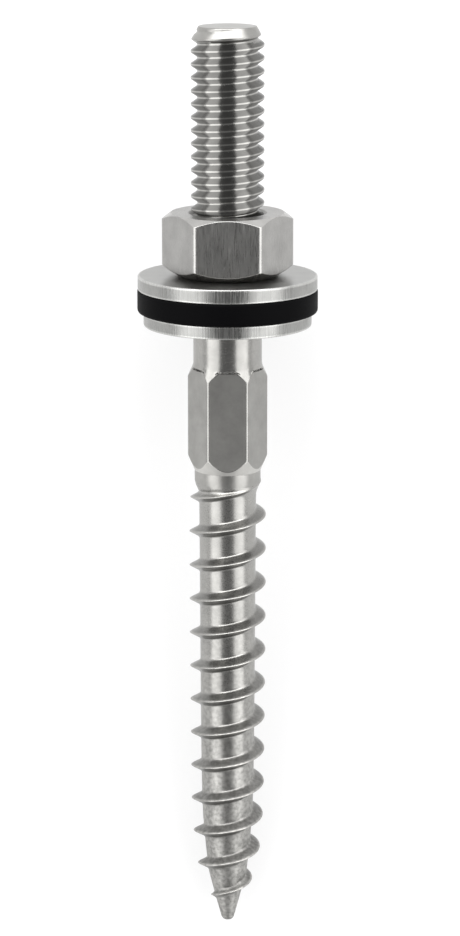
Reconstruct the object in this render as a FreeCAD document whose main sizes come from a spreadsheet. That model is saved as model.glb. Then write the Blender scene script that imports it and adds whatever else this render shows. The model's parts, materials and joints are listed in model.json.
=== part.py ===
import FreeCAD, Part

import math
import os

import Sketcher

# Hanger bolt: a wood-screw thread with a tapered point below, a hexagon to drive it by in the
# middle and a stud above, with a hex nut, a washer, a rubber seal and a lower washer on it. The
# stud's fine machine thread is left out here, and the stud has the diameter over its crests.
# Each piece is built along +Z, point down and with the photographed side towards -Y. It is then
# laid on the ground plane with that side up, as it comes to rest: on the rim of the seal and on
# a crest of the wood thread.

SIZES = [
    # Point and core of the wood screw, heights measured up from the tip
    ("tip_radius", 0.62, "blunt end of the point"),
    ("cone_angle", 15.3, "point's cone, from the axis"),
    ("cone_top", 5.4, "height at which the cone ends"),
    ("bend_height", 10.0, "height at which the taper eases again"),
    ("bend_radius", 2.62, "core radius there"),
    ("core_low", 18.5, "height at which the core is full"),
    ("core_top", 49.9, "height at which the core meets the collar's ramp"),
    ("core_radius", 3.0, "radius between the two"),
    # Ridge of the wood thread
    ("wood_pitch", 3.85, "rise in one turn"),
    ("wood_height", 1.18, "crest above core"),
    ("wood_flank_angle", 29.0, "flank, from the plane across the axis"),
    ("wood_phase", 46.3, "height of one crest on the front"),
    ("wood_sink", 0.22, "how far the ridge's root lies inside the core"),
    ("wood_start", 2.1, "height at which the ridge leaves the point"),
    ("wood_fade_in", 4.9, "height over which it grows"),
    ("wood_end", 51.15, "height at which it has run out into the collar"),
    ("wood_fade_out", 3.8, "height over which it runs out"),
    # Collar, hexagon and neck
    ("ramp_length", 0.9, "taper from the core up to the collar"),
    ("collar_radius", 3.61, "round collar under the hexagon"),
    ("collar_length", 1.5, "its length"),
    ("drive_across_flats", 7.64, "hexagon for driving the bolt"),
    ("drive_length", 11.8, "from the collar to the neck, with both cones"),
    ("drive_cone_angle", 23.5, "cones at the hexagon's ends, from the axis"),
    ("neck_radius", 3.73, "plain neck above the hexagon"),
    # Stud
    ("stud_low", 69.7, "height at which the neck widens to the stud"),
    ("total_length", 100.6, "tip to stud end"),
    ("stud_radius", 3.95, "over the crests of its machine thread"),
    ("end_radius", 3.12, "flat end face of the stud"),
    ("end_taper", 1.55, "length of the lead-in taper"),
    # Washers and seal, stacked upwards from the lower washer's underside
    ("stack_low", 68.4, "height of the lower washer's underside"),
    ("lower_washer_radius", 9.1, "outer radius"),
    ("lower_washer_thickness", 1.45, "thickness"),
    ("seal_overhang", 0.06, "how far it stands out past the upper washer"),
    ("seal_thickness", 2.45, "thickness"),
    ("upper_washer_radius", 9.72, "outer radius"),
    ("upper_washer_thickness", 1.55, "thickness"),
    ("washer_clearance", 0.25, "round the stud, inside the washers"),
    ("seal_clearance", 0.05, "round the stud, inside the seal"),
    # Hex nut
    ("nut_across_flats", 12.44, "half-inch hexagon"),
    ("nut_height", 6.8, "thickness"),
    ("nut_cone_angle", 30.0, "chamfer of the corners, from the face"),
    ("nut_face_radius", 5.98, "circle left flat on each face"),
    ("nut_clearance", 0.05, "round the stud, inside the nut"),
]

ZERO = "0"  # on the axis, or at the height of a piece's own foot

# Heights and radii that follow from the sizes above
CONE_TOP_RADIUS = "Sizes.tip_radius + Sizes.cone_top * tan(Sizes.cone_angle * 1deg)"
RAMP_TOP = "Sizes.core_top + Sizes.ramp_length"
DRIVE_LOW = f"{RAMP_TOP} + Sizes.collar_length"
DRIVE_HIGH = f"{DRIVE_LOW} + Sizes.drive_length"
DRIVE_CORNER = "Sizes.drive_across_flats / 2 / cos(30deg)"
CORE_CORNERS = [
    ("Sizes.tip_radius", ZERO),
    (CONE_TOP_RADIUS, "Sizes.cone_top"),
    ("Sizes.bend_radius", "Sizes.bend_height"),
    ("Sizes.core_radius", "Sizes.core_low"),
    ("Sizes.core_radius", "Sizes.core_top"),
    ("Sizes.collar_radius", RAMP_TOP),
]
SEAL_RADIUS = "Sizes.upper_washer_radius + Sizes.seal_overhang"
SEAL_LOW = "Sizes.stack_low + Sizes.lower_washer_thickness"
UPPER_WASHER_LOW = f"{SEAL_LOW} + Sizes.seal_thickness"
NUT_LOW = f"{UPPER_WASHER_LOW} + Sizes.upper_washer_thickness"
NUT_CORNER = "Sizes.nut_across_flats / 2 / cos(30deg)"
WASHER_BORE = "Sizes.stud_radius + Sizes.washer_clearance"
SEAL_BORE = "Sizes.stud_radius + Sizes.seal_clearance"
NUT_BORE = "Sizes.stud_radius + Sizes.nut_clearance"

CUT_MARGIN = "0.5"  # mm that a cutting profile reaches past the metal
STEPS_PER_TURN = 16  # points in one turn of a guide curve of the wood thread

doc = FreeCAD.newDocument("hanger_bolt")
sheet = doc.addObject("Spreadsheet::Sheet", "Sizes")
for row, (alias, value, note) in enumerate(SIZES, start=1):
    sheet.set(f"A{row}", alias)
    sheet.set(f"B{row}", str(value))
    sheet.set(f"C{row}", note)
    sheet.setAlias(f"B{row}", alias)
doc.recompute()
given = {alias: float(sheet.get(alias)) for alias, _, _ in SIZES}


def size(expression):
    """The value of an expression over the sheet."""
    value = sheet.evalExpression(expression)
    return float(getattr(value, "Value", value))


def origin_plane(body, role):
    return next(item for item in body.Origin.OriginFeatures if item.Role == role)


def new_sketch(body, name, role):
    sketch = body.newObject("Sketcher::SketchObject", name)
    sketch.AttachmentSupport = [(origin_plane(body, role), "")]
    sketch.MapMode = "FlatFace"
    return sketch


def hold(sketch, side, across, up):
    """Ties the start of a line to its place, given as two expressions."""
    for kind, axis, expression in (("DistanceX", -2, across), ("DistanceY", -1, up)):
        if expression == ZERO:
            sketch.addConstraint(Sketcher.Constraint("PointOnObject", side, 1, axis))
        else:
            tie = Sketcher.Constraint(kind, -1, 1, side, 1, size(expression))
            sketch.setExpression(f"Constraints[{sketch.addConstraint(tie)}]", expression)


def add_outline(sketch, corners):
    """A closed outline of straight sides through corners, pairs of expressions (across, up)."""
    first = sketch.GeometryCount
    places = [FreeCAD.Vector(size(across), size(up), 0) for across, up in corners]
    for start, stop in zip(places, places[1:] + places[:1]):
        sketch.addGeometry(Part.LineSegment(start, stop), False)
    for side, (across, up) in enumerate(corners):
        following = first + (side + 1) % len(corners)
        sketch.addConstraint(Sketcher.Constraint("Coincident", first + side, 2, following, 1))
        hold(sketch, first + side, across, up)


def revolved(body, kind, name, *outlines):
    """A revolution or a groove about the axis, from one or more outlines."""
    sketch = new_sketch(body, f"{name}_outline", "XZ_Plane")
    for outline in outlines:
        add_outline(sketch, outline)
    feature = body.newObject(f"PartDesign::{kind}", name)
    feature.Profile = sketch
    feature.ReferenceAxis = (sketch, ["V_Axis"])
    feature.Angle = 360
    doc.recompute()
    return feature


def hexagon_pad(body, name, flats, corner, low, height):
    """A hexagonal prism with a flat to the front, its corners left and right."""
    sketch = new_sketch(body, f"{name}_outline", "XY_Plane")
    sketch.setExpression(".AttachmentOffset.Base.z", low)
    half = f"({flats}) / 2"
    ring = [
        (corner, ZERO),
        (f"({corner}) / 2", half),
        (f"-({corner}) / 2", half),
        (f"-({corner})", ZERO),
        (f"-({corner}) / 2", f"-{half}"),
        (f"({corner}) / 2", f"-{half}"),
    ]
    add_outline(sketch, ring)
    pad = body.newObject("PartDesign::Pad", name)
    pad.Profile = sketch
    pad.setExpression("Length", height)
    doc.recompute()
    return pad


def cone_cut(inner, corner, face, slope, way):
    """Outline of what a cone takes off a hexagon's corners, from its face inwards.

    slope is how far the cone runs along the axis for each millimetre outwards, and way is
    + or -, towards the middle of the hexagon.
    """
    outer = f"{corner} + {CUT_MARGIN}"
    reach = f"({outer} - ({inner})) * {slope}"
    return [(inner, face), (outer, face), (outer, f"{face} {way} {reach}")]


def core_radius(height):
    """Radius of the screw's core at a height, from the tip up to the collar."""
    corners = [(size(up), size(across)) for across, up in CORE_CORNERS]
    for (low, low_radius), (high, high_radius) in zip(corners, corners[1:]):
        if height < high:
            return low_radius + (height - low) / (high - low) * (high_radius - low_radius)
    return given["collar_radius"]


def crest_radius(height):
    """Radius of the wood thread's crest, which rises out of the point and sinks into the collar."""
    buried = given["wood_sink"] / 2
    grown = (height - given["wood_start"]) / given["wood_fade_in"]
    grown = math.sin(min(max(grown, 0), 1) * math.pi / 2)
    core = core_radius(min(height, given["core_top"]))
    crest = core - buried + (given["wood_height"] + buried) * grown
    gone = 1 - (given["wood_end"] - height) / given["wood_fade_out"]
    gone = min(max(gone, 0), 1) ** 2
    return (1 - gone) * crest + gone * (given["collar_radius"] - buried)


def around(radius, height, turn):
    """A point on a right-hand helix; turn 0 is the front, and it rises towards the right."""
    angle = 2 * math.pi * turn
    return FreeCAD.Vector(radius * math.sin(angle), -radius * math.cos(angle), height)


def crest_stations():
    """Turn and height of the points that guide the wood thread, from its start to its end."""
    pitch, phase = given["wood_pitch"], given["wood_phase"]
    first = (given["wood_start"] - phase) / pitch
    last = (given["wood_end"] - phase) / pitch
    count = math.ceil((last - first) * STEPS_PER_TURN)
    turns = [first + (last - first) * step / count for step in range(count + 1)]
    return [(turn, phase + pitch * turn) for turn in turns]


def wood_ridge():
    """The wood thread's ridge: three guide curves, ruled faces between them and two flat ends."""
    stations = crest_stations()
    slope = math.tan(math.radians(given["wood_flank_angle"]))
    sink = given["wood_sink"]
    low_root, crest, high_root = [], [], []
    for turn, height in stations:
        radius = crest_radius(height)
        half = (radius - core_radius(height) + sink) * slope
        low_root.append(around(core_radius(height - half) - sink, height - half, turn))
        crest.append(around(radius, height, turn))
        high_root.append(around(core_radius(height + half) - sink, height + half, turn))
    knots = [float(step) for step in range(len(stations))]
    guides = []
    for points in (low_root, crest, high_root):
        curve = Part.BSplineCurve()
        curve.interpolate(Points=points, Parameters=knots)
        guides.append(curve)
    faces = []
    for start in range(0, len(stations) - 1, STEPS_PER_TURN):
        stop = min(start + STEPS_PER_TURN, len(stations) - 1)
        edges = [curve.toShape(float(start), float(stop)) for curve in guides]
        for one, other in zip(edges, edges[1:] + edges[:1]):
            faces.append(Part.makeRuledSurface(one, other))
    for place in (0, -1):
        corners = [points[place] for points in (low_root, crest, high_root)]
        faces.append(Part.Face(Part.makePolygon(corners + corners[:1])))
    ridge = Part.makeSolid(Part.makeShell(faces))
    if ridge.Volume < 0:
        ridge.reverse()
    return ridge


def make_bolt():
    """The bolt in one piece: turned shank, hexagon to drive it by and raised wood thread."""
    blank = doc.addObject("PartDesign::Body", "bolt_blank")
    shank = [
        (ZERO, ZERO),
        *CORE_CORNERS,
        ("Sizes.collar_radius", DRIVE_LOW),
        ("Sizes.neck_radius", DRIVE_LOW),
        ("Sizes.neck_radius", "Sizes.stud_low"),
        ("Sizes.stud_radius", "Sizes.stud_low + Sizes.stud_radius - Sizes.neck_radius"),
        ("Sizes.stud_radius", "Sizes.total_length - Sizes.end_taper"),
        ("Sizes.end_radius", "Sizes.total_length"),
        (ZERO, "Sizes.total_length"),
    ]
    revolved(blank, "Revolution", "shank", shank)

    flats, length = "Sizes.drive_across_flats", "Sizes.drive_length"
    hexagon_pad(blank, "drive_hexagon", flats, DRIVE_CORNER, DRIVE_LOW, length)
    slope = "1 / tan(Sizes.drive_cone_angle * 1deg)"
    low_cone = cone_cut("Sizes.collar_radius", DRIVE_CORNER, DRIVE_LOW, slope, "+")
    high_cone = cone_cut("Sizes.neck_radius", DRIVE_CORNER, DRIVE_HIGH, slope, "-")
    revolved(blank, "Groove", "drive_cones", low_cone, high_cone)

    ridge = doc.addObject("Part::Feature", "wood_ridge")
    ridge.Shape = wood_ridge()
    bolt = doc.addObject("Part::MultiFuse", "hanger_bolt")
    bolt.Shapes = [blank, ridge]
    doc.recompute()
    return bolt


def make_ring(name, outer, bore, thickness):
    """A flat ring for a washer or for the seal, its underside at height 0."""
    body = doc.addObject("PartDesign::Body", name)
    section = [(bore, ZERO), (outer, ZERO), (outer, thickness), (bore, thickness)]
    revolved(body, "Revolution", f"{name}_section", section)
    return body


def make_washer(name):
    return make_ring(name, f"Sizes.{name}_radius", WASHER_BORE, f"Sizes.{name}_thickness")


def make_seal():
    return make_ring("rubber_seal", SEAL_RADIUS, SEAL_BORE, "Sizes.seal_thickness")


def make_nut():
    """The hex nut, its lower face at height 0."""
    body = doc.addObject("PartDesign::Body", "hex_nut")
    height = "Sizes.nut_height"
    hexagon_pad(body, "nut_hexagon", "Sizes.nut_across_flats", NUT_CORNER, ZERO, height)
    slope = "tan(Sizes.nut_cone_angle * 1deg)"
    face_circle = "Sizes.nut_face_radius"
    low_cone = cone_cut(face_circle, NUT_CORNER, ZERO, slope, "+")
    high_cone = cone_cut(face_circle, NUT_CORNER, height, slope, "-")
    revolved(body, "Groove", "nut_cones", low_cone, high_cone)
    bore = [(ZERO, ZERO), (NUT_BORE, ZERO), (NUT_BORE, height), (ZERO, height)]
    revolved(body, "Groove", "nut_bore", bore)
    return body


def rest_corner():
    """Height and radius of the edge of the seal that touches the ground."""
    return size(SEAL_LOW), size(SEAL_RADIUS)


def rest_tilt():
    """Angle of the axis to the ground, lying on the seal's edge and the lowest wood crest."""
    height, radius = rest_corner()
    tilts = []
    for turn, crest_height in crest_stations():
        below = around(crest_radius(crest_height), crest_height, turn).y
        tilts.append(math.atan2(radius - below, height - crest_height))
    return min(tilts)


def rest_placement():
    """Lays the bolt down along +Y, centred over the origin, its front up."""
    tilt = rest_tilt()
    cosine, sine = math.cos(tilt), math.sin(tilt)
    height, radius = rest_corner()
    far = given["total_length"] * cosine + given["end_radius"] * sine
    near = given["tip_radius"] * sine
    place = FreeCAD.Vector(0, (near - far) / 2, radius * cosine - height * sine)
    turned = FreeCAD.Rotation(FreeCAD.Vector(1, 0, 0), math.degrees(tilt) - 90)
    return FreeCAD.Placement(place, turned)


def raised(height):
    """A move along the bolt's own axis, before it is laid down."""
    return FreeCAD.Placement(FreeCAD.Vector(0, 0, size(height)), FreeCAD.Rotation())


pieces = [
    (make_bolt(), ZERO),
    (make_washer("lower_washer"), "Sizes.stack_low"),
    (make_seal(), SEAL_LOW),
    (make_washer("upper_washer"), UPPER_WASHER_LOW),
    (make_nut(), NUT_LOW),
]
laid_down = rest_placement()
for piece, height in pieces:
    piece.Placement = laid_down.multiply(raised(height))
doc.recompute()

for item in doc.Objects:
    if "Invalid" in item.State or "Error" in item.State:
        raise RuntimeError(f"{item.Name} failed: {item.State}")

os.makedirs("parts", exist_ok=True)
for piece, _ in pieces:
    if piece.Shape.isNull() or not piece.Shape.isValid() or len(piece.Shape.Solids) != 1:
        raise RuntimeError(f"{piece.Label} is not one valid solid")
    piece.Shape.exportStep(f"parts/{piece.Label}.step")
    print(piece.Label, round(piece.Shape.Volume, 3), "mm3")
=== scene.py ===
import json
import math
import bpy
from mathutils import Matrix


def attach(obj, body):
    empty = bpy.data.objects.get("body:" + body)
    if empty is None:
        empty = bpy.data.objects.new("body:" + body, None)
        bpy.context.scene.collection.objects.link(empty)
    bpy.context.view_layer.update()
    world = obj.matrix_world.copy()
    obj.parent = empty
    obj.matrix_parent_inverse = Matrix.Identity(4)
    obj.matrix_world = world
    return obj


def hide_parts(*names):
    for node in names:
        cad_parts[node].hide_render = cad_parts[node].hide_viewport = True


bl_info = {
    "name": "Hanger bolt",
    "version": (1, 0, 0),
    "blender": (4, 5, 0),
    "location": "3D View > Sidebar > Hanger bolt",
    "description": "Finishes the hanger bolt's bolt, nut, washers and seal, and sets its stage",
    "category": "Add Mesh",
}

import bpy
import numpy as np
from mathutils import Matrix, Vector

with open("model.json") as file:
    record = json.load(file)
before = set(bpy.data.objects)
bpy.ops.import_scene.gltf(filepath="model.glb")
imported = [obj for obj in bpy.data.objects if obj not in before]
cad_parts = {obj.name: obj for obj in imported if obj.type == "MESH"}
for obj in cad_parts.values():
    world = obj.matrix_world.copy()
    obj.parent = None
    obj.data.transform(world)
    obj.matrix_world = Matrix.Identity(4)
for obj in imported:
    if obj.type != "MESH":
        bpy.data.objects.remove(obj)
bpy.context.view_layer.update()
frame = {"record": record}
MM = 0.001

# The bolt's own axes in the row frame. Its heights count from the point along ALONG, and its
# bearings go from UPWARD, the side seen in the photograph, towards ACROSS.
MOUNTS = {mount["name"]: mount for mount in frame["record"]["mounts"]}
SEAT_HEIGHT = 68.4  # mm from the point to the lower washer's underside
ALONG = Vector(MOUNTS["stud_thread"]["axis"]).normalized()
ACROSS = Vector((1, 0, 0))
UPWARD = ACROSS.cross(ALONG)
SEAT = Vector(MOUNTS["washer_underside"]["pos_m"])
POINT = Vector((0, SEAT.y, SEAT.z)) - ALONG * SEAT_HEIGHT * MM
TILT = math.atan2(ALONG.z, ALONG.y)

# Heights in the stack, in mm from the point, each a piece's thickness above the last
SEAL_LOW = SEAT_HEIGHT + 1.45
UPPER_WASHER_LOW = SEAL_LOW + 2.45
NUT_LOW = UPPER_WASHER_LOW + 1.55
NUT_HIGH = NUT_LOW + 6.8

# Outer radii and bores in the stack, and the nut's width over its flats, in mm
LOWER_WASHER_RADIUS, UPPER_WASHER_RADIUS, WASHER_BORE = 9.1, 9.72, 4.2
SEAL_RADIUS, SEAL_BORE = 9.77, 4.0
NUT_FLATS = 12.44

FULL_TURN = 2 * math.pi
HEXAGON_CORNERS = np.radians(30 + 60 * np.arange(6))
# Degrees from a hexagon's corner to the columns of a mesh, closer together near the corner
COLUMN_STEPS = np.array([0.8, 1.8, 3.4, 5.8, 9.0, 13.0, 17.2, 21.4, 25.7])


def bearings():
    """One turn of column bearings: six sectors, each with its columns crowded to its corner."""
    steps = np.radians(np.concatenate([-COLUMN_STEPS[::-1], [0], COLUMN_STEPS, [30]]))
    return np.sort((HEXAGON_CORNERS[:, None] + steps).ravel() % FULL_TURN)


class Skin:
    """Collects the points and triangles of one closed surface around the bolt's axis.

    A row is a ring of points, one to a bearing. Rows are joined in the order in which the
    profile runs, with the outside of the metal on its right.
    """

    def __init__(self):
        self.bearing = bearings()
        self.columns = len(self.bearing)
        self.radii, self.heights, self.turns, self.faces = [], [], [], []
        self.count = 0

    def add(self, radius, height, bearing):
        """Adds points and returns their numbers, in the shape of the arrays given."""
        radius, height, bearing = np.broadcast_arrays(radius, height, bearing)
        numbers = self.count + np.arange(radius.size).reshape(radius.shape)
        self.radii.append(radius.ravel())
        self.heights.append(height.ravel())
        self.turns.append(bearing.ravel())
        self.count += radius.size
        return numbers

    def quads(self, a, b, c, d):
        """Two triangles to each four corners, without those that have no area."""
        for trio in ((a, b, c), (a, c, d)):
            faces = np.stack([corner.ravel() for corner in trio], axis=-1)
            whole = (
                (faces[:, 0] != faces[:, 1])
                & (faces[:, 1] != faces[:, 2])
                & (faces[:, 2] != faces[:, 0])
            )
            self.faces.append(faces[whole])

    def join(self, rows):
        """Joins each row of point numbers to the next."""
        beside = np.roll(rows, -1, axis=1)
        self.quads(rows[:-1], beside[:-1], beside[1:], rows[1:])

    def pole(self, ring, height, above):
        """Closes a ring with one point on the axis."""
        centre = np.full(self.columns, self.add(0.0, height, 0.0))
        beside = np.roll(ring, -1)
        trio = (ring, beside, centre) if above else (beside, ring, centre)
        self.faces.append(np.stack(trio, axis=-1))

    def profile(self, corners, closed=False):
        """Rows of a turned or milled profile, joined, with their point numbers."""
        radius, height = rounded_rows(corners, self.columns, closed)
        rows = self.add(radius, height, self.bearing)
        self.join(np.concatenate([rows, rows[:1]]) if closed else rows)
        return rows

    def thread(self, pitch, offsets, low, high, surface, outward=True):
        """A thread's surface between two heights, and its lowest and highest ring.

        The rows follow the helix: height = row + pitch * bearing / full turn, kept between low
        and high, so the last column of a row meets the first column of the row a pitch above.
        """
        strands = len(offsets)
        first = math.floor(low / pitch) - 2
        last = math.ceil(high / pitch) + 2
        starts = (np.arange(first, last)[:, None] + np.asarray(offsets)).ravel() * pitch
        height = np.clip(starts[:, None] + pitch * self.bearing / FULL_TURN, low, high)
        bearing = np.broadcast_to(self.bearing, height.shape)
        inside = (height > low) & (height < high)
        foot = self.add(surface(np.full(self.columns, low), self.bearing), low, self.bearing)
        head = self.add(surface(np.full(self.columns, high), self.bearing), high, self.bearing)
        rows = np.where(height <= low, foot, head)
        free = height[inside], bearing[inside]
        rows[inside] = self.add(surface(*free), *free)
        beside = np.concatenate([rows[:-strands, 1:], rows[strands:, :1]], axis=1)
        here = rows[:-strands]
        corners = here[:-1], beside[:-1], beside[1:], here[1:]
        self.quads(*(corners if outward else corners[::-1]))
        return foot, head

    def make(self, name, body, nodes, material, marks=(), lean=None):
        """The finished piece, placed in the row frame and riding on its CAD body.

        marks are pairs of a name and a function of radius, height and bearing, whose values
        the material reads as an attribute of that name. lean is such a function too: where it
        is over 0, a point's normal is its own times 1 - lean plus the outward one times lean.
        """
        radius, height, bearing = (
            np.concatenate(part)[:, None] for part in (self.radii, self.heights, self.turns)
        )
        out = np.sin(bearing) * np.array(ACROSS) + np.cos(bearing) * np.array(UPWARD)
        points = np.array(POINT) + MM * (height * np.array(ALONG) + radius * out)
        faces = np.concatenate(self.faces)
        mesh = bpy.data.meshes.new(name)
        mesh.vertices.add(len(points))
        mesh.vertices.foreach_set("co", points.ravel())
        mesh.loops.add(faces.size)
        mesh.loops.foreach_set("vertex_index", faces.ravel())
        mesh.polygons.add(len(faces))
        mesh.polygons.foreach_set("loop_start", np.arange(0, faces.size, 3))
        mesh.update(calc_edges=True)
        mesh.validate()
        mesh.polygons.foreach_set("use_smooth", np.ones(len(mesh.polygons), dtype=bool))
        mesh.set_sharp_from_angle(angle=math.radians(40))
        for mark, values in marks:
            layer = mesh.attributes.new(mark, "FLOAT", "POINT")
            layer.data.foreach_set("value", values(radius, height, bearing).ravel())
        if lean:
            share = lean(radius, height, bearing)
            normals = np.empty(points.size)
            mesh.vertex_normals.foreach_get("vector", normals)
            turned = normals.reshape(-1, 3) * (1 - share) + out * share
            turned /= np.linalg.norm(turned, axis=1, keepdims=True)
            mesh.normals_split_custom_set_from_vertices(np.where(share > 0, turned, 0.0).tolist())
        mesh.materials.append(material)
        piece = bpy.data.objects.new(name, mesh)
        bpy.context.scene.collection.objects.link(piece)
        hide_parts(*nodes)
        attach(piece, body)
        return piece


def rounded_rows(corners, columns, closed):
    """Radius and height of a profile's rows, from corners (radius, height, rounding).

    A corner P with a rounding e becomes the curve (1-t)^2 A + 2t(1-t) P + t^2 C, with A and C
    at e from P on the two sides, and one more row on each side to keep the flats flat.
    """
    path = np.array([np.broadcast_to(np.stack(np.broadcast_arrays(r, h)).T, (columns, 2))
                     for r, h, _ in corners], dtype=float)
    rows = []
    for number, (_, _, rounding) in enumerate(corners):
        here = path[number]
        end = not closed and number in (0, len(corners) - 1)
        if end or not rounding:
            rows.append(here[None])
            continue
        before = path[number - 1] - here
        after = path[(number + 1) % len(corners)] - here
        before /= np.linalg.norm(before, axis=1, keepdims=True)
        after /= np.linalg.norm(after, axis=1, keepdims=True)
        t = np.linspace(0, 1, 5)[:, None, None]
        near, far = here + rounding * before, here + rounding * after
        curve = (1 - t) ** 2 * near + 2 * t * (1 - t) * here + t**2 * far
        edge = 1.7 * rounding
        rows += [(here + edge * before)[None], curve, (here + edge * after)[None]]
    stacked = np.concatenate(rows)
    return stacked[..., 0], stacked[..., 1]


def hexagon_radius(bearing, across_flats, softness):
    """Radius of a hexagon with a flat upwards: half the flats over the larger of the cosines to
    the two nearest flats, with a smooth maximum of width softness that rounds its corners."""
    off = (bearing + math.pi / 6) % (math.pi / 3) - math.pi / 6
    nearer = np.cos(off)
    further = np.cos(math.pi / 3 - np.abs(off))
    gap = np.maximum(softness - (nearer - further), 0)
    return across_flats / 2 / (nearer + gap**2 / (4 * softness))


def from_corner(bearing):
    """Angle from a bearing to the nearest corner of a hexagon with a flat upwards."""
    return np.abs(bearing % (math.pi / 3) - math.pi / 6)


def smooth_larger(one, other, width):
    """The larger of two arrays, with a fillet of that width where they cross."""
    blend = np.clip(0.5 + 0.5 * (one - other) / width, 0, 1)
    return other + (one - other) * blend + width * blend * (1 - blend)


def eased_table(heights, radii, spread):
    """A radius by height: straight between the points, then averaged over a spread in mm."""
    step = 0.05
    fine = np.arange(heights[0], heights[-1], step)
    window = np.hanning(2 * int(spread / step) + 1)
    straight = np.interp(fine, heights, radii)
    padded = np.pad(straight, len(window) // 2, mode="reflect", reflect_type="odd")
    return fine, np.convolve(padded, window / window.sum(), mode="valid")


def from_helix(height, bearing, phase, pitch):
    """Distance along the axis from the nearest crest of a right-hand thread, in mm."""
    return ((height - phase) / pitch - bearing / FULL_TURN + 0.5) % 1 * pitch - pitch / 2


def linear(text):
    """A colour of the form #rrggbb as linear red, green and blue."""
    values = [int(text[place : place + 2], 16) / 255 for place in (1, 3, 5)]
    return [v / 12.92 if v <= 0.04045 else ((v + 0.055) / 1.055) ** 2.4 for v in values]


class BoltSettings(bpy.types.PropertyGroup):
    """Sizes and colour of the bolt."""

    wood_pitch: bpy.props.FloatProperty(
        name="Wood pitch", description="Rise of the wood thread in one turn",
        default=0.00385, min=0.001, unit="LENGTH", precision=5)
    wood_flank: bpy.props.FloatProperty(
        name="Wood flank", description="Angle of the wood thread's flanks from the plane across",
        default=math.radians(28.4), subtype="ANGLE")
    root_fillet: bpy.props.FloatProperty(
        name="Root fillet", description="Fillet between the wood thread and the core",
        default=0.0003, unit="LENGTH", precision=5)
    stud_pitch: bpy.props.FloatProperty(
        name="Stud pitch", description="Rise of the machine thread in one turn",
        default=0.0014111, min=0.0005, unit="LENGTH", precision=6)
    stud_depth: bpy.props.FloatProperty(
        name="Stud depth", description="Depth of the machine thread",
        default=0.00069, unit="LENGTH", precision=5)
    steel: bpy.props.FloatVectorProperty(
        name="Steel", description="Colour of the bolt's stainless steel",
        subtype="COLOR", size=3, min=0, max=1, default=linear("#a09f9c"))


class StackSettings(bpy.types.PropertyGroup):
    """Sizes and colours of the nut, the washers and the seal."""

    corner_softness: bpy.props.FloatProperty(
        name="Corner softness", description="Rounding of the nut's six corners",
        default=0.05, min=0.001)
    washer_edge: bpy.props.FloatProperty(
        name="Washer edge", description="Rounding of the washers' rims",
        default=0.00016, unit="LENGTH", precision=5)
    seal_edge: bpy.props.FloatProperty(
        name="Seal edge", description="Rounding of the seal's rims",
        default=0.0004, unit="LENGTH", precision=5)
    nut_steel: bpy.props.FloatVectorProperty(
        name="Nut steel", description="Colour of the nut's stainless steel",
        subtype="COLOR", size=3, min=0, max=1, default=linear("#9d9c9a"))
    washer_steel: bpy.props.FloatVectorProperty(
        name="Washer steel", description="Colour of the washers' stainless steel",
        subtype="COLOR", size=3, min=0, max=1, default=linear("#979795"))
    rubber: bpy.props.FloatVectorProperty(
        name="Rubber", description="Colour of the seal",
        subtype="COLOR", size=3, min=0, max=1, default=linear("#050506"))


class StageSettings(bpy.types.PropertyGroup):
    """Camera and light."""

    lean: bpy.props.FloatProperty(
        name="Lean", description="Camera's lean from straight above the bolt to the stud's end",
        default=math.radians(13.2), subtype="ANGLE")
    distance: bpy.props.FloatProperty(
        name="Distance", description="From the bolt's axis to the camera",
        default=0.358, unit="LENGTH", precision=4)
    aim: bpy.props.FloatProperty(
        name="Aim", description="Height on the bolt's axis that the camera looks at",
        default=0.0524, unit="LENGTH", precision=4)
    aside: bpy.props.FloatProperty(
        name="Aside", description="How far the camera stands to the right of the bolt's axis",
        default=0.00026, unit="LENGTH", precision=5)
    softbox: bpy.props.FloatProperty(
        name="Softbox", description="Power of each of the two long soft lamps",
        default=4.2, min=0, unit="POWER")
    end_softbox: bpy.props.FloatProperty(
        name="End softbox", description="Power of the soft lamp beyond the stud's end",
        default=5.5, min=0, unit="POWER")


def add_node(tree, kind, settings=None, **inputs):
    """Adds a node, sets its settings, and gives each named input a value or a link."""
    node = tree.nodes.new(kind)
    for name, value in (settings or {}).items():
        setattr(node, name, value)
    for name, value in inputs.items():
        key = int(name[1:]) if name[0] == "i" and name[1:].isdigit() else name.replace("_", " ")
        socket = node.inputs[key]
        if isinstance(value, bpy.types.NodeSocket):
            tree.links.new(value, socket)
        else:
            socket.default_value = value
    return node


def new_material(name):
    """A material with its Principled shader, its tree and coordinates along the bolt's axis."""
    material = bpy.data.materials.new(name)
    material.use_nodes = True
    tree = material.node_tree
    place = add_node(tree, "ShaderNodeTexCoord")
    turned = add_node(
        tree,
        "ShaderNodeMapping",
        {"vector_type": "TEXTURE"},
        Vector=place.outputs["Object"],
        Location=POINT,
        Rotation=(TILT, 0, 0),
    )
    return material, tree, tree.nodes["Principled BSDF"], turned.outputs["Vector"]


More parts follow.
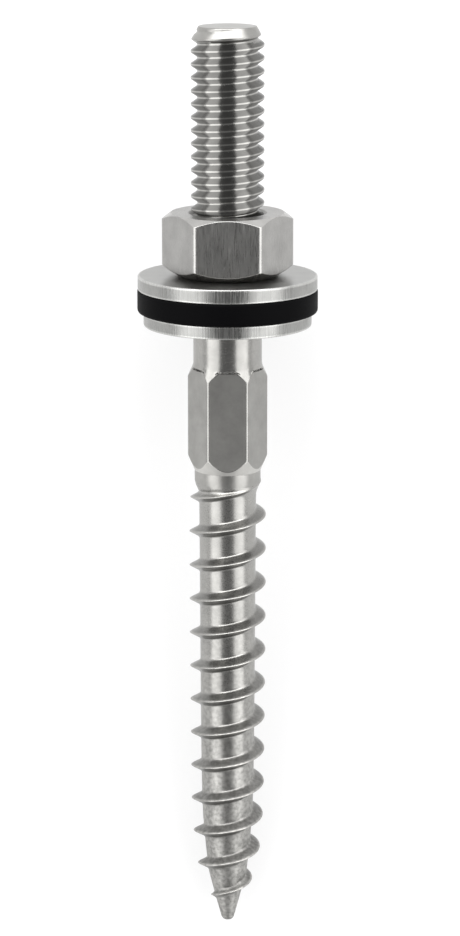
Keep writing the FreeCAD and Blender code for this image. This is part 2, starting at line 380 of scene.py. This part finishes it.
def grained_steel(name, colour, grain_mm, roughness, relief_mm):
    """Stainless steel with a grain of spots grain_mm = (across, along) the bolt's axis.

    The colour is its own times 0.9 to 1.08 by a cloud of 2 mm, the roughness runs between the
    two values given by the grain, and the grain stands up relief_mm in the bump. Returns the
    material, its tree, its shader, the coordinates and the colour's and roughness's sockets.
    """
    material, tree, shader, place = new_material(name)
    across, along = (1 / (size * MM) for size in grain_mm)
    spots = add_node(tree, "ShaderNodeMapping", Vector=place, Scale=(across, along, across))
    grain = add_node(
        tree, "ShaderNodeTexNoise", Vector=spots.outputs["Vector"], Scale=1.0, Detail=4.0
    )
    cloud = add_node(tree, "ShaderNodeTexNoise", Vector=place, Scale=1 / (2 * MM), Detail=3.0)
    tone = add_node(
        tree, "ShaderNodeMapRange", i0=cloud.outputs["Fac"], i1=0.3, i2=0.7, i3=0.9, i4=1.08
    )
    base = add_node(
        tree, "ShaderNodeMix", {"data_type": "RGBA", "blend_type": "MULTIPLY"},
        i0=1.0, i6=(*colour, 1), i7=tone.outputs["Result"],
    )
    rough = add_node(
        tree, "ShaderNodeMapRange",
        i0=grain.outputs["Fac"], i1=0.3, i2=0.7, i3=roughness[0], i4=roughness[1],
    )
    bump = add_node(
        tree, "ShaderNodeBump", Strength=0.5, Distance=relief_mm * MM, Height=grain.outputs["Fac"]
    )
    shader.inputs["Metallic"].default_value = 1.0
    tree.links.new(base.outputs[2], shader.inputs["Base Color"])
    tree.links.new(rough.outputs["Result"], shader.inputs["Roughness"])
    tree.links.new(bump.outputs["Normal"], shader.inputs["Normal"])
    return material, tree, shader, place, base.outputs[2], rough.outputs["Result"]


def steel_rolled(colour):
    """Stainless steel bar, turned and with rolled threads: crisp reflections on the neck and the
    stud, a satin hexagon and collar, and a dull skin that turns blotchy towards the point. The
    threads' flanks get painted shade, and their crests and the cone under the hexagon a painted
    highlight, all read from the flank attribute."""
    material, tree, shader, place, base, rough = grained_steel(
        "rolled_stainless_steel", colour, (0.09, 0.12), (0.12, 0.24), 0.004
    )
    along = add_node(tree, "ShaderNodeSeparateXYZ", i0=place).outputs["Y"]

    # The rolled part dulls from the collar down, and more over the last 30 mm to the point
    skin = add_node(
        tree, "ShaderNodeMapRange", i0=along, i1=52.6 * MM, i2=50.6 * MM, i3=0.0, i4=0.11
    )
    worn = add_node(
        tree, "ShaderNodeMapRange", i0=along, i1=30 * MM, i2=6 * MM, i3=0.0, i4=0.16
    )
    dull = add_node(tree, "ShaderNodeMath", {"operation": "ADD"}, i0=rough, i1=skin.outputs[0])
    duller = add_node(
        tree, "ShaderNodeMath", {"operation": "ADD"}, i0=dull.outputs[0], i1=worn.outputs[0]
    )
    milled = add_node(tree, "ShaderNodeAttribute", {"attribute_name": "milled"})
    satin = add_node(
        tree, "ShaderNodeMix", i0=milled.outputs["Fac"], i2=duller.outputs[0], i3=0.42
    )
    tree.links.new(satin.outputs[0], shader.inputs["Roughness"])

    # Blotches of 0.4 mm where the skin is worn
    blotch = add_node(tree, "ShaderNodeTexNoise", Vector=place, Scale=1 / (0.4 * MM), Detail=5.0)
    spot = add_node(
        tree, "ShaderNodeMapRange", i0=blotch.outputs["Fac"], i1=0.35, i2=0.65, i3=0.68, i4=1.14
    )
    reach = add_node(
        tree, "ShaderNodeMapRange", i0=along, i1=45 * MM, i2=12 * MM, i3=0.1, i4=1.0
    )
    mottled = add_node(
        tree, "ShaderNodeMix", {"data_type": "RGBA", "blend_type": "MULTIPLY"},
        i0=reach.outputs[0], i6=base, i7=spot.outputs[0],
    )

    # Painted shade and painted highlights: the flanks are darker, a painted shade for the light
    # lost between them, and the crests and the cone under the hexagon lighter, a painted
    # highlight.
    # The colour is its own times 1 - 0.58 * flank
    flank = add_node(tree, "ShaderNodeAttribute", {"attribute_name": "flank"})
    shade = add_node(
        tree, "ShaderNodeMapRange", i0=flank.outputs["Fac"], i1=-1.0, i2=1.0, i3=1.58, i4=0.42
    )
    toned = add_node(
        tree, "ShaderNodeMix", {"data_type": "RGBA", "blend_type": "MULTIPLY"},
        i0=1.0, i6=mottled.outputs[2], i7=shade.outputs[0],
    )
    tree.links.new(toned.outputs[2], shader.inputs["Base Color"])
    return material


def steel_nut(colour):
    """Stainless steel nut, cold formed, its flats shaved: dull flats with strokes on the axis,
    and smoother corners and upper chamfer whose colour is lighter, a painted highlight."""
    material, tree, shader, _, base, rough = grained_steel(
        "nut_stainless_steel", colour, (0.05, 1.2), (0.22, 0.42), 0.008
    )
    corner = add_node(tree, "ShaderNodeAttribute", {"attribute_name": "corner"}).outputs["Fac"]
    # The corners and the upper chamfer are up to 1.3 times lighter, a painted highlight
    painted_highlight = add_node(tree, "ShaderNodeMapRange", i0=corner, i1=0.0, i2=1.0, i3=1.0, i4=1.3)
    lighter = add_node(
        tree, "ShaderNodeMix", {"data_type": "RGBA", "blend_type": "MULTIPLY"},
        i0=1.0, i6=base, i7=painted_highlight.outputs[0],
    )
    smoother = add_node(tree, "ShaderNodeMix", i0=corner, i2=rough, i3=0.2)
    tree.links.new(lighter.outputs[2], shader.inputs["Base Color"])
    tree.links.new(smoother.outputs[0], shader.inputs["Roughness"])
    return material


def steel_washer(colour):
    """Stainless steel sheet, punched: smooth faces, a rim scored along the punch's travel, and
    rounded edges whose colour is lighter, a painted highlight."""
    material, tree, shader, _, base, rough = grained_steel(
        "punched_stainless_steel", colour, (0.08, 2.5), (0.16, 0.44), 0.014
    )
    edge = add_node(tree, "ShaderNodeAttribute", {"attribute_name": "edge"}).outputs["Fac"]
    # The rounded edges are up to 1.6 times lighter, a painted highlight
    painted_highlight = add_node(tree, "ShaderNodeMapRange", i0=edge, i1=0.0, i2=1.0, i3=1.0, i4=1.6)
    lighter = add_node(
        tree, "ShaderNodeMix", {"data_type": "RGBA", "blend_type": "MULTIPLY"},
        i0=1.0, i6=base, i7=painted_highlight.outputs[0],
    )
    tree.links.new(lighter.outputs[2], shader.inputs["Base Color"])
    face = add_node(tree, "ShaderNodeAttribute", {"attribute_name": "face"}).outputs["Fac"]
    smoother = add_node(tree, "ShaderNodeMix", i0=face, i2=rough, i3=0.28)
    tree.links.new(smoother.outputs[0], shader.inputs["Roughness"])
    return material


def rubber_moulded(colour):
    """EPDM rubber, moulded, matte black: a faint grey sheen at the sides and a fine skin with
    seven spots to the millimetre."""
    material, tree, shader, place = new_material("moulded_epdm_rubber")
    skin = add_node(tree, "ShaderNodeTexNoise", Vector=place, Scale=7 / MM, Detail=4.0)
    tone = add_node(
        tree, "ShaderNodeMapRange", i0=skin.outputs["Fac"], i1=0.3, i2=0.7, i3=0.8, i4=1.25
    )
    base = add_node(
        tree, "ShaderNodeMix", {"data_type": "RGBA", "blend_type": "MULTIPLY"},
        i0=1.0, i6=(*colour, 1), i7=tone.outputs["Result"],
    )
    rough = add_node(
        tree, "ShaderNodeMapRange", i0=skin.outputs["Fac"], i1=0.3, i2=0.7, i3=0.5, i4=0.64
    )
    bump = add_node(
        tree, "ShaderNodeBump", Strength=0.3, Distance=0.008 * MM, Height=skin.outputs["Fac"]
    )
    tree.links.new(base.outputs[2], shader.inputs["Base Color"])
    tree.links.new(rough.outputs["Result"], shader.inputs["Roughness"])
    tree.links.new(bump.outputs["Normal"], shader.inputs["Normal"])
    shader.inputs["Specular IOR Level"].default_value = 0.035
    return material


# Core of the wood screw and its crest, radius by height from the point, in mm
CORE = eased_table(
    [0.5, 2.5, 5.9, 8.7, 12.4, 15.9, 20.0, 27.5, 37.0, 49.8, 50.9, 53.0],
    [0.72, 1.27, 2.13, 2.44, 2.76, 2.88, 2.94, 3.0, 3.05, 3.12, 3.61, 3.61],
    0.5,
)
CREST = eased_table(
    [1.0, 2.1, 2.94, 4.85, 6.76, 8.7, 10.6, 12.6, 14.4, 18.0, 26.0, 34.0, 47.0, 49.2, 51.2, 53.0],
    [0.7, 1.1, 1.86, 2.73, 3.34, 3.62, 3.81, 3.94, 4.02, 4.07, 4.14, 4.2, 4.21, 4.12, 3.52, 3.3],
    0.5,
)

# Sizes of the bolt in mm, with heights from the point
WOOD_PHASE = 46.3  # height of one crest of the wood thread on the upper side
WOOD_CREST = 0.06  # rounding of the wood thread's crest
STUD_PHASE = 91.24  # height of one crest of the machine thread on the upper side
WOOD_LOW, WOOD_HIGH = 0.55, 51.9
COLLAR_RADIUS = 3.61
DRIVE_LOW, DRIVE_HIGH = 52.3, 64.1
DRIVE_FLATS = 7.64  # width of the drive hexagon over its flats
DRIVE_CONE = math.tan(math.radians(23.5))  # slope of the cones at the hexagon's two ends
DRIVE_SOFTNESS = 0.066  # rounding of the hexagon's edges, as hexagon_radius takes it
NECK_RADIUS = 3.73
STUD_RADIUS = 3.95
STUD_LOW, STUD_TOP = 70.2, 100.6
END_RADIUS, END_TAPER = 3.12, 1.55  # of the stud's end face, and its lead-in's length
STUD_CREST, STUD_ROOT = 0.15, 0.12  # half the width of the machine thread's crest and root
RUN_OUT = 0.85  # over which the machine thread reaches its depth from the neck
THREAD_CLEARANCE = 0.05  # between the stud's thread and the nut's


def wood_surface(settings):
    """Radius of the wood screw: the larger of its core and of a ridge whose flanks fall from the
    crest at the flank's angle, with a fillet between them and a rounded crest."""
    pitch = settings.wood_pitch / MM
    fall = 1 / math.tan(settings.wood_flank)
    fillet = settings.root_fillet / MM

    def surface(height, bearing):
        off = from_helix(height, bearing, WOOD_PHASE, pitch)
        crest = np.interp(height - off, *CREST)
        ridge = crest - (np.hypot(off, WOOD_CREST) - WOOD_CREST) * fall
        return smooth_larger(np.interp(height, *CORE), ridge, fillet)

    return surface


def stud_surface(settings, clearance=0.0):
    """Radius of the machine thread: crest, straight flank and root, eased into each other over
    0.1 mm. It runs out at the neck, clear of the nut's lowest place, and ends under the
    lead-in taper. With a clearance it is the nut's thread, which has no ends."""
    pitch, depth = settings.stud_pitch / MM, settings.stud_depth / MM
    easing = 0.1

    def surface(height, bearing):
        off = np.abs(from_helix(height, bearing, STUD_PHASE, pitch))
        down = smooth_larger(off - STUD_CREST, 0.0, easing)
        flank = pitch / 2 - STUD_CREST - STUD_ROOT
        share = np.clip(-smooth_larger(-down, -flank, easing) / flank, 0, 1)
        begun = np.clip((height - STUD_LOW) / RUN_OUT, 0, 1)
        radius = STUD_RADIUS - depth * share * begun * begun * (3 - 2 * begun)
        if clearance:
            return radius + clearance
        taper = END_RADIUS + (STUD_TOP - height) * (STUD_RADIUS - END_RADIUS) / END_TAPER
        return -smooth_larger(-radius, -taper, 0.12)

    return surface


# Rows of one pitch of each thread, as shares of it, crowded to the crest and to the fillets
WOOD_ROWS = np.array(
    [0, 0.008, 0.02, 0.05, 0.09, 0.12, 0.145, 0.165, 0.185, 0.21, 0.25, 0.36, 0.5]
)
STUD_ROWS = np.array([0, 0.03, 0.045, 0.065, 0.12, 0.25, 0.38, 0.435, 0.455, 0.475, 0.5])


def both_ways(shares, phase, pitch):
    """Row offsets on both sides of a crest, as shares of a pitch, in rising order."""
    offsets = np.concatenate([shares, -shares[1:-1]]) + phase / pitch
    return np.sort(offsets % 1)


def flank_share(surface):
    """How far a threaded surface is flank: 0 where its slope along the axis is under 0.3, 1 from
    1.5 up, with the slope taken over 0.02 mm."""

    def share(height, bearing):
        slope = (surface(height + 0.01, bearing) - surface(height - 0.01, bearing)) / 0.02
        return np.clip((np.abs(slope) - 0.3) / 1.2, 0, 1)

    return share


class HANGER_OT_bolt(bpy.types.Operator):
    """Makes the bolt: point, wood thread, collar, hexagon, neck and machine thread"""

    bl_idname = "hanger.bolt"
    bl_label = "Bolt"

    def execute(self, context):
        settings = context.scene.hanger_bolt
        skin = Skin()
        wood, stud = wood_surface(settings), stud_surface(settings)
        pitch = settings.wood_pitch / MM
        foot, wood_head = skin.thread(
            pitch, both_ways(WOOD_ROWS, WOOD_PHASE, pitch), WOOD_LOW, WOOD_HIGH, wood
        )
        foot_radius = wood(np.full(skin.columns, WOOD_LOW), skin.bearing)
        blunt_radius = foot_radius * np.array([0.3, 0.55, 0.75, 0.9, 0.98])[:, None]
        blunt_height = WOOD_LOW * np.array([0.05, 0.16, 0.34, 0.6, 0.85])[:, None]
        tip = skin.add(blunt_radius, blunt_height, skin.bearing)
        skin.join(np.concatenate([tip, foot[None]]))
        skin.pole(tip[0], 0.02, above=False)

        hexagon = hexagon_radius(skin.bearing, DRIVE_FLATS, DRIVE_SOFTNESS)
        low_arc = DRIVE_LOW + (hexagon - COLLAR_RADIUS) / DRIVE_CONE
        high_arc = DRIVE_HIGH - (hexagon - NECK_RADIUS) / DRIVE_CONE
        shank = skin.profile([
            (COLLAR_RADIUS, WOOD_HIGH + 0.1, 0),
            (COLLAR_RADIUS, DRIVE_LOW, 0.06),
            (hexagon, low_arc, 0.12),
            (hexagon, high_arc, 0.12),
            (NECK_RADIUS, DRIVE_HIGH, 0.3),
            (NECK_RADIUS, STUD_LOW - 0.5, 0.08),
            (STUD_RADIUS, STUD_LOW - 0.22, 0.05),
            (STUD_RADIUS, STUD_LOW - 0.02, 0),
        ])
        pitch = settings.stud_pitch / MM
        stud_foot, head = skin.thread(
            pitch, both_ways(STUD_ROWS, STUD_PHASE, pitch), STUD_LOW, STUD_TOP - 0.04, stud
        )
        skin.join(np.stack([wood_head, shank[0]]))
        skin.join(np.stack([shank[-1], stud_foot]))
        end_radius = np.array([0.985, 0.96, 0.8, 0.4])[:, None] * END_RADIUS
        end_height = STUD_TOP - np.array([0.012, 0.0, 0.0, 0.0])[:, None]
        end = skin.add(end_radius + 0 * skin.bearing, end_height, skin.bearing)
        skin.join(np.concatenate([head[None], end]))
        skin.pole(end[-1], STUD_TOP, above=True)
        wood_share = flank_share(wood)
        close = 0.01

        def stud_share(height, bearing):
            """0 on narrow lines along the machine thread's crest and root, 1 on its flanks."""
            off = np.abs(from_helix(height, bearing, STUD_PHASE, pitch))
            return np.clip((np.minimum(off, pitch / 2 - off) - 0.065) / 0.03, 0, 1)

        def on_stud(height):
            return (height > STUD_LOW + 0.3) & (height < STUD_TOP - END_TAPER)

        def on_hexagon(radius, height, bearing):
            full = hexagon_radius(bearing, DRIVE_FLATS, DRIVE_SOFTNESS)
            return (height > DRIVE_LOW) & (height < DRIVE_HIGH) & (radius > full - close)

        def on_low_cone(radius, height, bearing):
            full = hexagon_radius(bearing, DRIVE_FLATS, DRIVE_SOFTNESS)
            low_half = (height > DRIVE_LOW + 0.05) & (height < (DRIVE_LOW + DRIVE_HIGH) / 2)
            return low_half & (radius < full - 2 * close)

        def flank(radius, height, bearing):
            """Painted shade and highlight: how much darker than its steel a place is, and below 0
            how much lighter. The threads' flanks get painted shade, their crests and the cone
            under the hexagon a painted highlight, and the hexagon and the stud's end are a little
            darker.
            """
            # The crests' value is a painted highlight and the cone's a stronger one; the hexagon
            # and the stud's end are a little darker
            slight, painted_highlight, bright = 0.15, -0.2, -0.8
            share = stud_share(height, bearing)
            on_crest = radius > np.interp(height, *CREST) - 0.12
            # Wood thread: a painted highlight on the crests and painted shade on the flanks
            shade = np.where(on_crest, painted_highlight, 0.6 * wood_share(height, bearing))
            shade = np.where((height < WOOD_HIGH - 2) & (height > 2), shade, 0)
            shade = np.where(height > STUD_TOP - END_TAPER, slight, shade)
            shade = np.where(on_hexagon(radius, height, bearing), slight, shade)
            shade = np.where(on_low_cone(radius, height, bearing), bright, shade)
            # Machine thread: a painted highlight on the lines along crest and root, painted shade
            # on the flanks
            return np.where(on_stud(height), np.where(share < 0.1, painted_highlight, share), shade)

        def milled(radius, height, bearing):
            """How satin a place is: 1 on the hexagon's flats, 0.6 on the collar, the cone over
            it and the stud's end, 0.25 on the neck and 0.15 on the machine thread's flanks."""
            flats = on_hexagon(radius, height, bearing) & (from_corner(bearing) > math.radians(3))
            neck = (height > DRIVE_HIGH) & (height < STUD_LOW - 0.5)
            collar = (height > WOOD_HIGH - 1.0) & (height < DRIVE_LOW)
            satin = np.where(height > STUD_TOP - END_TAPER, 0.6, flats.astype(float))
            satin = np.where(neck, 0.25, np.where(collar, 0.6, satin))
            satin = np.where(on_low_cone(radius, height, bearing), 0.6, satin)
            return np.where(on_stud(height), 0.15 * stud_share(height, bearing), satin)

        # A groove of 60 degrees sends light back by three mirrors, as one mirror across its
        # mouth would, so the machine thread's flanks show what the plain neck shows. The least
        # share is over 0, so that crest and root keep the smooth normals of the whole thread.
        def lean(radius, height, bearing):
            return np.where(on_stud(height), np.maximum(stud_share(height, bearing), 0.001), 0)

        skin.make(
            "bolt", "bolt", ["hanger_bolt"], steel_rolled(settings.steel),
            marks=(("flank", flank), ("milled", milled)), lean=lean,
        )
        return {"FINISHED"}


class HANGER_OT_nut(bpy.types.Operator):
    """Makes the hex nut, chamfered on both faces, with its countersunk thread"""

    bl_idname = "hanger.nut"
    bl_label = "Nut"

    def execute(self, context):
        bolt, stack = context.scene.hanger_bolt, context.scene.hanger_stack
        skin = Skin()
        # Radii of the lower and the upper flat face, of the countersinks and of the bore
        seat, face, sink, bore = 5.3, 6.12, 4.24, 4.0
        low_chamfer, high_chamfer = math.tan(math.radians(33)), math.tan(math.radians(36))
        hexagon = hexagon_radius(skin.bearing, NUT_FLATS, stack.corner_softness)
        low_arc = (hexagon - seat) * low_chamfer
        high_arc = (hexagon - face) * high_chamfer
        pitch = bolt.stud_pitch / MM
        foot, head = skin.thread(
            pitch,
            both_ways(STUD_ROWS, STUD_PHASE, pitch),
            NUT_LOW + 0.5,
            NUT_HIGH - 0.5,
            stud_surface(bolt, clearance=THREAD_CLEARANCE),
            outward=False,
        )
        outside = skin.profile([
            (bore, NUT_LOW + 0.45, 0),
            (sink, NUT_LOW, 0.05),
            (seat, NUT_LOW, 0.04),
            (hexagon, NUT_LOW + low_arc, 0.06),
            (hexagon, NUT_HIGH - high_arc, 0.06),
            (face, NUT_HIGH, 0.03),
            (sink, NUT_HIGH, 0.05),
            (bore, NUT_HIGH - 0.45, 0),
        ])
        skin.join(np.stack([foot, outside[0]]))
        skin.join(np.stack([outside[-1], head]))

        def corner(radius, height, bearing):
            """1 on the upper chamfer and on the hexagon's six edges, 0 elsewhere: where the
            material puts its painted highlight.
            """
            near = np.clip(1 - from_corner(bearing) / math.radians(3.5), 0, 1)
            full = hexagon_radius(bearing, NUT_FLATS, stack.corner_softness)
            cone_foot = NUT_HIGH - (full - face) * high_chamfer
            on_cone = (height > cone_foot + 0.02) & (radius > face - 0.02)
            return np.where(on_cone, 1.0, np.where(radius > 6.3, near, 0))

        skin.make(
            "nut", "nut", ["hex_nut"], steel_nut(stack.nut_steel),
            marks=(("corner", corner),),
        )
        return {"FINISHED"}


class HANGER_OT_washers(bpy.types.Operator):
    """Makes the two flat washers, punched, with rounded rims"""

    bl_idname = "hanger.washers"
    bl_label = "Washers"

    def execute(self, context):
        stack = context.scene.hanger_stack
        edge = stack.washer_edge / MM
        material = steel_washer(stack.washer_steel)
        rings = (
            ("lower_washer", LOWER_WASHER_RADIUS, SEAT_HEIGHT, SEAL_LOW),
            ("upper_washer", UPPER_WASHER_RADIUS, UPPER_WASHER_LOW, NUT_LOW),
        )
        for node, outer, low, high in rings:
            skin = Skin()
            skin.profile([
                (WASHER_BORE, low, 0.06),
                (outer, low, edge),
                (outer, high, edge),
                (WASHER_BORE, high, 0.06),
            ], closed=True)
            name = node.replace("_", "_flat_")

            def face(radius, height, bearing, rim=outer):
                return (radius < rim - edge).astype(float)

            # Marks the rims' rounded corners, which the material gives a painted highlight
            def rounding(radius, height, bearing, rim=outer, low=low, high=high):
                inside = np.minimum(height - low, high - height)
                return ((radius > rim - 1.1 * edge) & (inside < 1.1 * edge)).astype(float)

            skin.make(
                name, "washer_stack", [node], material,
                marks=(("face", face), ("edge", rounding)),
            )
        return {"FINISHED"}


class HANGER_OT_seal(bpy.types.Operator):
    """Makes the rubber seal between the washers, with rounded rims"""

    bl_idname = "hanger.seal"
    bl_label = "Seal"

    def execute(self, context):
        stack = context.scene.hanger_stack
        edge = stack.seal_edge / MM
        skin = Skin()
        skin.profile([
            (SEAL_BORE, SEAL_LOW, 0),
            (SEAL_RADIUS, SEAL_LOW, edge),
            (SEAL_RADIUS, UPPER_WASHER_LOW, edge * 0.6),
            (SEAL_BORE, UPPER_WASHER_LOW, 0),
        ], closed=True)
        rubber = rubber_moulded(stack.rubber)
        skin.make("seal", "washer_stack", ["rubber_seal"], rubber)
        return {"FINISHED"}


def make_floor():
    """A pale floor. Most of what the camera and shiny surfaces see of it is its own white, so
    it reads as a white ground and still keeps the bolt's soft shadow."""
    corners = np.array([(-1, -1), (1, -1), (1, 1), (-1, 1)], dtype=float) * 4.0
    mesh = bpy.data.meshes.new("floor")
    mesh.from_pydata(np.column_stack([corners, np.zeros(4)]).tolist(), [], [(0, 1, 2, 3)])
    floor = bpy.data.objects.new("floor", mesh)
    bpy.context.scene.collection.objects.link(floor)
    material = bpy.data.materials.new("matte_white_paper")
    material.use_nodes = True
    tree = material.node_tree
    tree.nodes.remove(tree.nodes["Principled BSDF"])
    paper = add_node(tree, "ShaderNodeBsdfDiffuse", Color=(*linear("#f4f4f4"), 1))
    glow = add_node(tree, "ShaderNodeEmission", Color=(1, 1, 1, 1), Strength=1.0)
    rays = add_node(tree, "ShaderNodeLightPath")
    mirrored = add_node(
        tree, "ShaderNodeMath", {"operation": "MAXIMUM"},
        i0=rays.outputs["Is Glossy Ray"], i1=rays.outputs["Is Transmission Ray"],
    )
    seen = add_node(
        tree, "ShaderNodeMath", {"operation": "MAXIMUM"},
        i0=rays.outputs["Is Camera Ray"], i1=mirrored.outputs[0],
    )
    share = add_node(
        tree, "ShaderNodeMath", {"operation": "MULTIPLY"}, i0=seen.outputs[0], i1=0.7
    )
    mix = add_node(
        tree, "ShaderNodeMixShader",
        i0=share.outputs[0], i1=paper.outputs[0], i2=glow.outputs[0],
    )
    tree.links.new(mix.outputs[0], tree.nodes["Material Output"].inputs["Surface"])
    mesh.materials.append(material)


def light_room():
    """A pale room that darkens towards its ceiling, so that turned metal shows a dark middle."""
    world = bpy.data.worlds.new("studio")
    bpy.context.scene.world = world
    world.use_nodes = True
    tree = world.node_tree
    place = add_node(tree, "ShaderNodeTexCoord")
    parts = add_node(tree, "ShaderNodeSeparateXYZ", i0=place.outputs["Generated"])
    shade = add_node(
        tree, "ShaderNodeMapRange", {"interpolation_type": "SMOOTHSTEP"},
        i0=parts.outputs["Z"], i1=0.25, i2=0.85, i3=0.8, i4=0.2,
    )
    tree.links.new(shade.outputs["Result"], tree.nodes["Background"].inputs["Strength"])
    tree.nodes["Background"].inputs["Color"].default_value = (1, 1, 1, 1)


LAMP_DISTANCE = 0.62


def hang_softbox(name, direction, size, power):
    """A soft lamp that faces the bolt from a direction, its second size along the bolt."""
    lamp = bpy.data.lights.new(name, "AREA")
    lamp.shape = "RECTANGLE"
    lamp.size, lamp.size_y = size
    lamp.energy = power
    light = bpy.data.objects.new(name, lamp)
    away = Vector(direction).normalized()
    sideways = Vector((0, 1, 0)).cross(away).normalized()
    turn = Matrix((sideways, away.cross(sideways), away)).transposed()
    light.matrix_world = Matrix.Translation(away * LAMP_DISTANCE) @ turn.to_4x4()
    bpy.context.scene.collection.objects.link(light)


def set_camera(settings):
    """The photograph's camera: above the bolt, leaning to the stud's end, up along the bolt."""
    lean = settings.lean
    towards = UPWARD * math.cos(lean) + ALONG * math.sin(lean)
    camera_up = ALONG * math.cos(lean) - UPWARD * math.sin(lean)
    target = POINT + ALONG * settings.aim + ACROSS * settings.aside
    focal_pixels, image_height = 3270, 936
    data = bpy.data.cameras.new("camera")
    data.sensor_fit = "VERTICAL"
    data.sensor_height = 24.0
    data.lens = data.sensor_height * focal_pixels / image_height
    data.clip_start = 0.01
    camera = bpy.data.objects.new("camera", data)
    turn = Matrix((ACROSS, camera_up, towards)).transposed()
    place = Matrix.Translation(target + towards * settings.distance)
    camera.matrix_world = place @ turn.to_4x4()
    bpy.context.scene.collection.objects.link(camera)
    bpy.context.scene.camera = camera


class HANGER_OT_stage(bpy.types.Operator):
    """Sets the floor, the room's light, the soft lamps and the camera"""

    bl_idname = "hanger.stage"
    bl_label = "Stage"

    def execute(self, context):
        settings = context.scene.hanger_stage
        make_floor()
        light_room()
        side, end = math.radians(50), math.radians(56)
        sideways, up = math.sin(side), math.cos(side)
        hang_softbox("softbox_right", (sideways, 0, up), (0.5, 1.4), settings.softbox)
        hang_softbox("softbox_left", (-sideways, 0, up), (0.5, 1.4), settings.softbox)
        beyond = 0, math.sin(end), math.cos(end)
        hang_softbox("softbox_end", beyond, (0.9, 0.5), settings.end_softbox)
        set_camera(settings)
        context.scene.view_settings.view_transform = "Standard"
        return {"FINISHED"}


class HANGER_PT_panel(bpy.types.Panel):
    """Lists the pieces and their settings"""

    bl_idname = "HANGER_PT_panel"
    bl_label = "Hanger bolt"
    bl_space_type = "VIEW_3D"
    bl_region_type = "UI"
    bl_category = "Hanger bolt"

    def draw(self, context):
        scene = context.scene
        for settings in (scene.hanger_bolt, scene.hanger_stack, scene.hanger_stage):
            box = self.layout.box()
            for name in settings.__annotations__:
                box.prop(settings, name)
        for operator in OPERATORS:
            self.layout.operator(operator.bl_idname)


OPERATORS = (HANGER_OT_bolt, HANGER_OT_nut, HANGER_OT_washers, HANGER_OT_seal, HANGER_OT_stage)
CLASSES = (BoltSettings, StackSettings, StageSettings, *OPERATORS, HANGER_PT_panel)


def register():
    for cls in CLASSES:
        bpy.utils.register_class(cls)
    bpy.types.Scene.hanger_bolt = bpy.props.PointerProperty(type=BoltSettings)
    bpy.types.Scene.hanger_stack = bpy.props.PointerProperty(type=StackSettings)
    bpy.types.Scene.hanger_stage = bpy.props.PointerProperty(type=StageSettings)


def unregister():
    del bpy.types.Scene.hanger_stage
    del bpy.types.Scene.hanger_stack
    del bpy.types.Scene.hanger_bolt
    for cls in reversed(CLASSES):
        bpy.utils.unregister_class(cls)


def main():
    register()
    bpy.ops.hanger.bolt()
    bpy.ops.hanger.nut()
    bpy.ops.hanger.washers()
    bpy.ops.hanger.seal()
    bpy.ops.hanger.stage()


if __name__ == "__main__":
    main()
